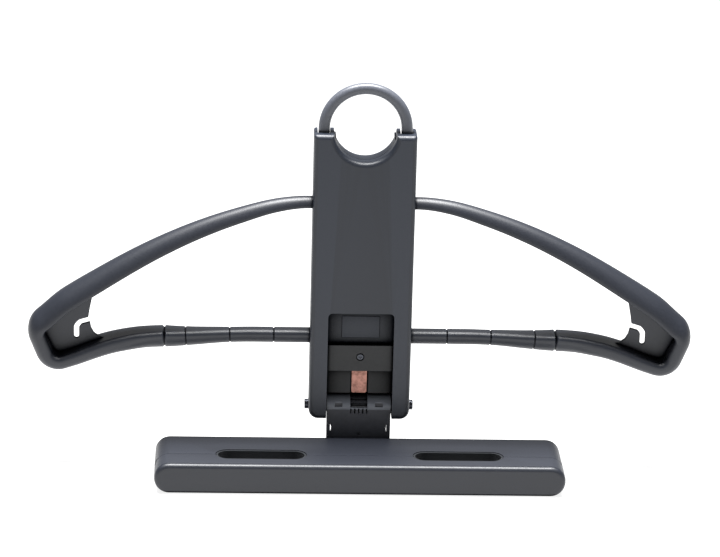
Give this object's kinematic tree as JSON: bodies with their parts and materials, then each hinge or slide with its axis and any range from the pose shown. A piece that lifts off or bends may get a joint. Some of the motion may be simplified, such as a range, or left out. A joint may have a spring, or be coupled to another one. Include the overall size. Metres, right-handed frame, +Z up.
{
  "type": "trouser press hanger",
  "caption": "Coat hanger with a flat central body, folding top ring, shoulder wings with a trouser bar, and a hinged two-jaw clamp bar below.",
  "frame": {"origin": "middle of the clamp bar's underside, the face the hanger stands on", "axes": "+X to the hanger's right-hand wing as seen from the front, +Y to its back, +Z up from the clamp bar to the ring"},
  "size_m": [0.4472, 0.0759, 0.2682],
  "materials": {
    "body_plastic": "satin",
    "liner_rubber": "matt",
    "neck_metal": "satin",
    "drum_plastic": "semi-gloss",
    "plated_steel": "satin",
    "spring_steel": "bright",
    "bronze_strip": "satin"
  },
  "bodies": {
    "clamp_base": {"rear_jaw": "body_plastic", "rear_jaw_cover": "body_plastic", "rear_cover_screws": "plated_steel", "rear_liner_left": "liner_rubber", "rear_liner_right": "liner_rubber", "rod_bushes": "drum_plastic", "clamp_spring_left": "spring_steel", "clamp_spring_right": "spring_steel", "neck_bracket": "neck_metal", "neck_screws": "plated_steel", "detent_drum": "drum_plastic", "hinge_bushes": "drum_plastic", "plunger_spring": "spring_steel"},
    "front_jaw_body": {"front_jaw": "body_plastic", "front_jaw_cover": "body_plastic", "front_cover_screws": "plated_steel", "front_liner_left": "liner_rubber", "front_liner_right": "liner_rubber", "guide_rod_left": "plated_steel", "guide_rod_right": "plated_steel", "rod_washers": "plated_steel", "rod_nuts": "plated_steel"},
    "left_plunger": {"hinge_plunger_left": "plated_steel"},
    "right_plunger": {"hinge_plunger_right": "plated_steel"},
    "hanger_body": {"front_shell": "body_plastic", "back_shell": "body_plastic", "shell_screws": "plated_steel", "ring_pins": "plated_steel", "leaf_spring": "bronze_strip", "spring_retainer": "body_plastic", "retainer_screw": "plated_steel", "left_wing": "body_plastic", "right_wing": "body_plastic", "left_trouser_bar": "body_plastic", "right_trouser_bar": "body_plastic"},
    "ring_body": {"hanging_ring": "body_plastic"}
  },
  "joints": [
    {"name": "jaw_slide", "type": "slide", "parent": "clamp_base", "child": "front_jaw_body", "axis": [0, -1, 0], "range_m": [0, 0.012], "stiffness_N_per_m": 1200, "springref_m": -0.006, "deforming": ["clamp_spring_left", "clamp_spring_right"]},
    {"name": "left_plunger_press", "type": "slide", "parent": "clamp_base", "child": "left_plunger", "axis": [1, 0, 0], "range_m": [0, 0.0052], "stiffness_N_per_m": 800, "springref_m": -0.002, "deforming": ["plunger_spring"]},
    {"name": "right_plunger_press", "type": "slide", "parent": "clamp_base", "child": "right_plunger", "axis": [-1, 0, 0], "range_m": [0, 0.0052], "stiffness_N_per_m": 800, "springref_m": -0.002, "deforming": ["plunger_spring"]},
    {"name": "hanger_fold", "type": "hinge", "parent": "clamp_base", "child": "hanger_body", "pos_m": [0, 0.0342, 0.0418], "axis": [1, 0, 0], "range_deg": [0, 90]},
    {"name": "ring_fold", "type": "hinge", "parent": "hanger_body", "child": "ring_body", "pos_m": [0, 0.0342, 0.2258], "axis": [-1, 0, 0], "range_deg": [0, 90]}
  ]
}
